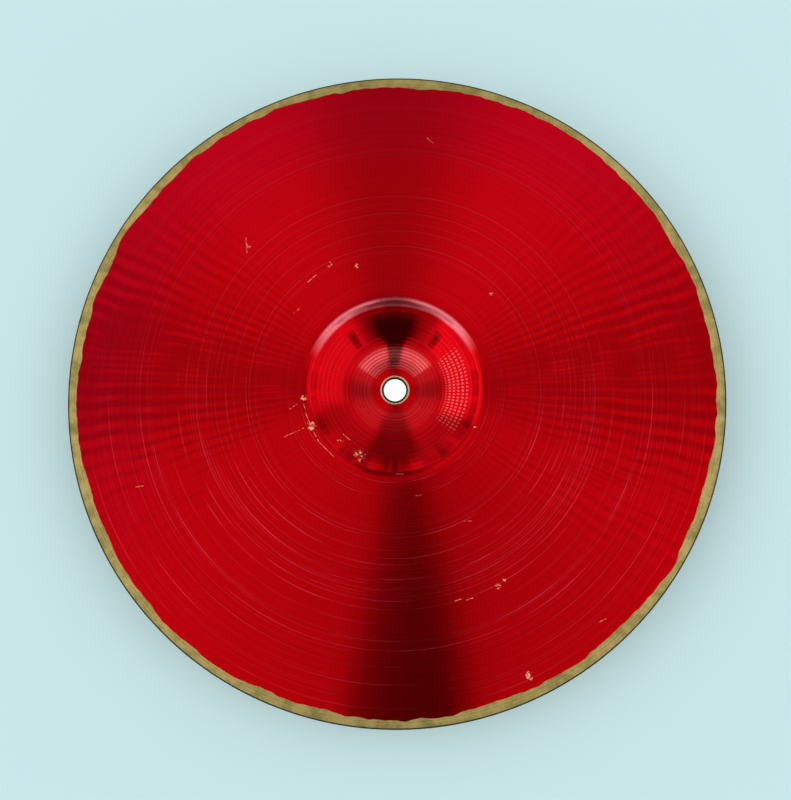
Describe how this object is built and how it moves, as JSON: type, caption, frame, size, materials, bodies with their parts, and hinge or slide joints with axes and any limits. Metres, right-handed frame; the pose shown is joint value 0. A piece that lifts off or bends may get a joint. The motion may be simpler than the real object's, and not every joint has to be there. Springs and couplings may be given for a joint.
{
  "type": "crash cymbal",
  "caption": "Round pressed and lathed bronze cymbal with a raised bell and a central stand hole, red lacquer on both faces worn back to bare bronze at the edge.",
  "frame": {"origin": "centre of the stand hole on the flat land that the bell lies on", "axes": "+Z along the axis of the hole from the bell's crown towards the edge, so the part lies bell down and hollow side up as pictured; X and Y are free because the part is round"},
  "size_m": [0.3556, 0.3556, 0.0258],
  "materials": {
    "bare_bronze": "turned, slightly dulled",
    "red_lacquer": "gloss, translucent over turned metal"
  },
  "bodies": {
    "root": {"bronze_disc": "bare_bronze", "lacquer_inside": "red_lacquer", "lacquer_outside": "red_lacquer"}
  },
  "joints": []
}
